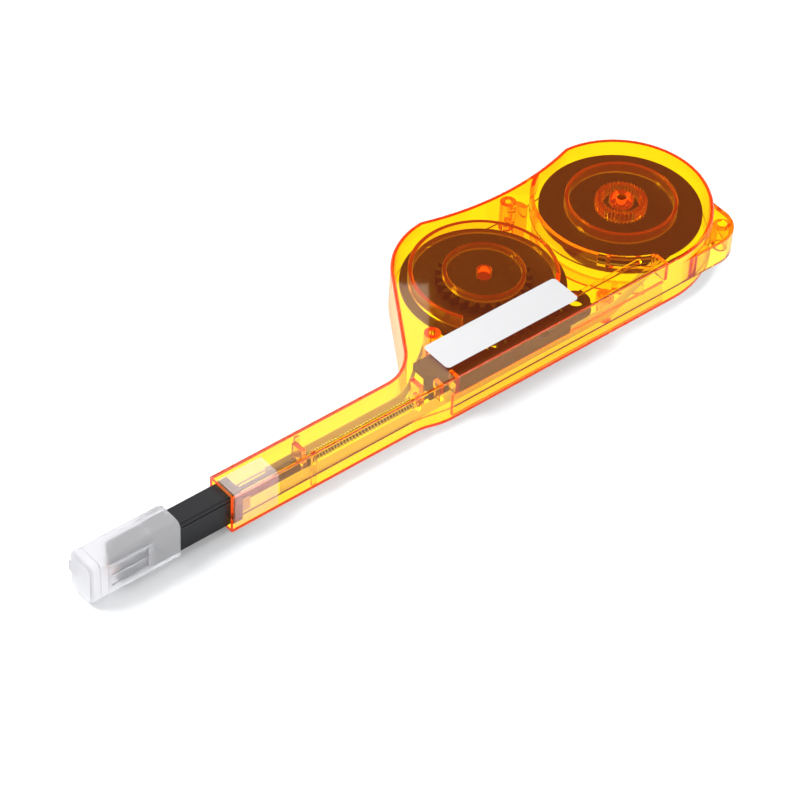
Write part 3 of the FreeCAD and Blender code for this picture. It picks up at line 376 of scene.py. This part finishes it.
def grip_panes(mat):
    """Frosted floors of the two grip recesses in the cap's near face, and the raised frame round them."""
    face_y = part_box("guide_cap")[0][1]
    verts, faces = [], []
    for z in GRIP_Z:
        closed_box(verts, faces, (GRIP_X[0] + PANE_PLAY, face_y + PANE_INSET, z + PANE_PLAY),
                   (GRIP_X[1] - PANE_PLAY, face_y + CAP_WALL - PANE_PLAY, z + GRIP_H - PANE_PLAY))
    cap_piece("grip_panes", verts, faces, mat)
    verts, faces = [], []
    x0, x1 = GRIP_X[0] - PAD_MARGIN, GRIP_X[1] + PAD_MARGIN
    y0, y1 = face_y - PAD_RISE, face_y - PANE_PLAY / 3
    levels = [GRIP_Z[0] - PAD_MARGIN, GRIP_Z[0], GRIP_Z[0] + GRIP_H, GRIP_Z[1], GRIP_Z[1] + GRIP_H,
              GRIP_Z[1] + GRIP_H + PAD_MARGIN]
    for z0, z1 in (levels[0:2], levels[2:4], levels[4:6]):
        closed_box(verts, faces, (x0, y0, z0), (x1, y1, z1))
    for z0, z1 in (levels[1:3], levels[3:5]):
        closed_box(verts, faces, (x0, y0, z0), (GRIP_X[0], y1, z1))
        closed_box(verts, faces, (GRIP_X[1], y0, z0), (x1, y1, z1))
    cap_piece("grip_frame", verts, faces, mat)


# Stage --------------------------------------------------------------------------------------------

def floor():
    """Plain pale floor, white in the distance and behind clear plastic."""
    mesh = bpy.data.meshes.new("floor")
    corners = [(x * FLOOR_HALF, y * FLOOR_HALF, 0) for x, y in ((-1, -1), (1, -1), (1, 1), (-1, 1))]
    mesh.from_pydata(corners, [], [(0, 1, 2, 3)])
    obj = linked("floor", mesh)
    obj.location.z = -FLOOR_DROP
    mat, nodes, links, shader = material("pale_floor")
    shader.inputs["Base Color"].default_value = (*FLOOR_COLOUR, 1.0)
    shader.inputs["Roughness"].default_value = FLOOR_ROUGHNESS
    path = nodes.new("ShaderNodeLightPath")
    # In direct view it glows more with the distance from the pen
    place = nodes.new("ShaderNodeTexCoord")
    away = nodes.new("ShaderNodeVectorMath")
    away.operation = "LENGTH"
    links.new(place.outputs["Object"], away.inputs[0])
    rise = ramp(nodes, links, away.outputs["Value"], FLOOR_LIFT, FLOOR_FAR_LIFT, FLOOR_NEAR, FLOOR_FAR)
    strength = nodes.new("ShaderNodeMath")
    strength.operation = "MULTIPLY"
    links.new(rise, strength.inputs[0])
    links.new(path.outputs["Is Camera Ray"], strength.inputs[1])
    lift = nodes.new("ShaderNodeEmission")
    links.new(strength.outputs["Value"], lift.inputs["Strength"])
    pale = nodes.new("ShaderNodeAddShader")
    links.new(shader.outputs["BSDF"], pale.inputs[0])
    links.new(lift.outputs["Emission"], pale.inputs[1])
    # Behind clear plastic it is evenly bright
    bright = nodes.new("ShaderNodeEmission")
    bright.inputs["Strength"].default_value = BACKLIGHT
    mix = nodes.new("ShaderNodeMixShader")
    links.new(path.outputs["Is Transmission Ray"], mix.inputs["Fac"])
    links.new(pale.outputs["Shader"], mix.inputs[1])
    links.new(bright.outputs["Emission"], mix.inputs[2])
    links.new(mix.outputs["Shader"], nodes["Material Output"].inputs["Surface"])
    mesh.materials.append(mat)


def area_light(name, shape, place, aim, power):
    """Lamp at a place that shines in a direction; returns its settings."""
    light = bpy.data.lights.new(name, "AREA")
    light.shape = shape
    light.energy = power
    obj = linked(name, light)
    obj.location = place
    obj.rotation_euler = aim.to_track_quat("-Z", "Y").to_euler()
    return light


def lamps():
    """Round key and fill lamps."""
    for name, place, size, power in LAMPS:
        area_light(name, "DISK", place, CAM_TARGET - Vector(place), power).size = size


def reflector():
    """Small card that the camera sees mirrored in the nose's top face."""
    ahead = CARD_SPOT - bpy.context.scene.camera.matrix_world.translation
    bounce = Vector((ahead.x, ahead.y, -ahead.z)).normalized()
    light = area_light("card", "RECTANGLE", CARD_SPOT + bounce * CARD_AWAY, -bounce, CARD_POWER)
    light.size, light.size_y = CARD_SIZE


def world_light():
    """Studio sky: bright overhead and at the horizon, dim between, and plain white where it shows directly."""
    world = bpy.data.worlds.new("studio")
    world.use_nodes = True
    nodes, links = world.node_tree.nodes, world.node_tree.links
    back = nodes["Background"]
    place = nodes.new("ShaderNodeTexCoord")
    split = nodes.new("ShaderNodeSeparateXYZ")
    links.new(place.outputs["Generated"], split.inputs["Vector"])
    bands = nodes.new("ShaderNodeValToRGB")
    stops = bands.color_ramp
    stops.elements[0].position, stops.elements[1].position = 0.0, 1.0
    for position, level in SKY_BANDS:
        stops.elements.new(position).color = (level, level, level, 1.0)
    stops.elements[0].color = (HORIZON, HORIZON, HORIZON, 1.0)
    stops.elements[-1].color = (1.0, 1.0, 1.0, 1.0)
    links.new(split.outputs["Z"], bands.inputs["Fac"])
    links.new(bands.outputs["Color"], back.inputs["Color"])
    back.inputs["Strength"].default_value = ZENITH
    white = nodes.new("ShaderNodeBackground")
    white.inputs["Color"].default_value = (1.0, 1.0, 1.0, 1.0)
    path = nodes.new("ShaderNodeLightPath")
    mix = nodes.new("ShaderNodeMixShader")
    links.new(path.outputs["Is Camera Ray"], mix.inputs["Fac"])
    links.new(back.outputs["Background"], mix.inputs[1])
    links.new(white.outputs["Background"], mix.inputs[2])
    links.new(mix.outputs["Shader"], nodes["World Output"].inputs["Surface"])
    bpy.context.scene.world = world


def camera():
    """The photo's view."""
    level = math.cos(CAM_ELEVATION)
    ahead = Vector((-math.sin(CAM_AZIMUTH) * level, math.cos(CAM_AZIMUTH) * level, -math.sin(CAM_ELEVATION)))
    right = Vector((math.cos(CAM_AZIMUTH), math.sin(CAM_AZIMUTH), 0.0))
    right.rotate(Matrix.Rotation(CAM_ROLL, 3, ahead))
    up = right.cross(ahead)
    turn = Matrix((right, up, -ahead)).transposed().to_4x4()
    data = bpy.data.cameras.new("camera")
    data.lens = CAM_LENS
    data.sensor_width = CAM_SENSOR
    data.clip_start = CAM_CLIP
    obj = linked("camera", data)
    obj.matrix_world = Matrix.Translation(CAM_TARGET - ahead * CAM_DISTANCE) @ turn
    bpy.context.scene.camera = obj


def main():
    finish_nodes()
    spring()
    floor()
    world_light()
    lamps()
    camera()
    reflector()
    scene = bpy.context.scene
    scene.view_settings.view_transform = "Standard"
    scene.cycles.max_bounces = BOUNCES
    scene.cycles.transmission_bounces = BOUNCES


main()
